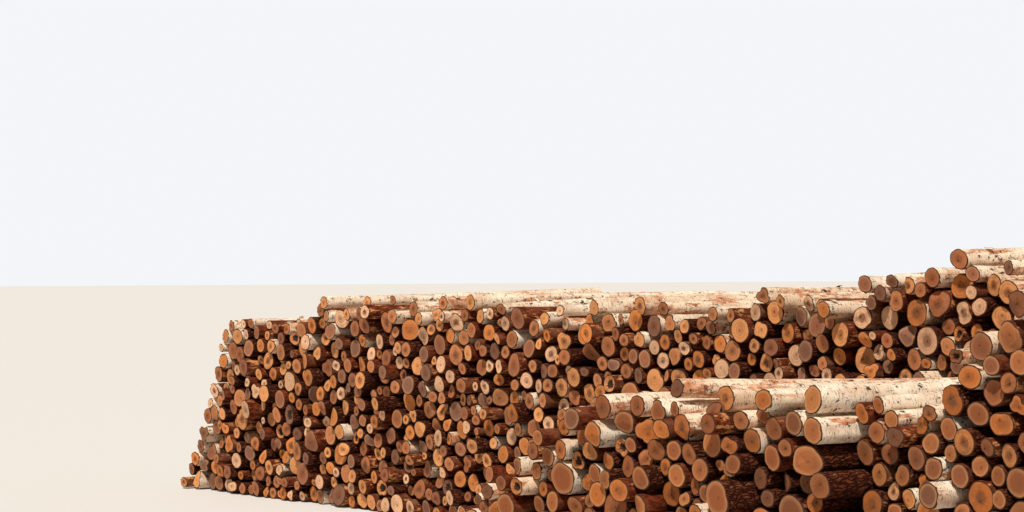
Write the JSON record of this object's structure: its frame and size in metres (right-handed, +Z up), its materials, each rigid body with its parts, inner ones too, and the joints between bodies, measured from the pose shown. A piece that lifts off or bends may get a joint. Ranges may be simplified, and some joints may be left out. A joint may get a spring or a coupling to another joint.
{
  "type": "heap of logs",
  "caption": "Heap of barked logs in two rows laid side by side, a long tall row and a shorter, lower one against its face, all sawn ends showing.",
  "frame": {"origin": "centre of the heap's footprint, on the ground", "axes": "+X along the heap's face, +Y along the logs from the front row to the rear row, +Z up"},
  "size_m": [21.133, 8.8108, 3.3978],
  "materials": {
    "logs": "sawn ends and mixed bark"
  },
  "bodies": {
    "root": {"front_row_tier_01": "logs", "front_row_tier_02": "logs", "front_row_tier_03": "logs", "front_row_tier_04": "logs", "front_row_tier_05": "logs", "front_row_tier_06": "logs", "front_row_tier_07": "logs", "front_row_tier_08": "logs", "front_row_tier_09": "logs", "front_row_tier_10": "logs", "front_row_tier_11": "logs", "front_row_top_logs": "logs", "rear_row_tier_01": "logs", "rear_row_tier_02": "logs", "rear_row_tier_03": "logs", "rear_row_tier_04": "logs", "rear_row_tier_05": "logs", "rear_row_tier_06": "logs", "rear_row_tier_07": "logs", "rear_row_tier_08": "logs", "rear_row_tier_09": "logs", "rear_row_tier_10": "logs", "rear_row_tier_11": "logs", "rear_row_tier_12": "logs", "rear_row_tier_13": "logs", "rear_row_top_logs": "logs"}
  },
  "joints": []
}
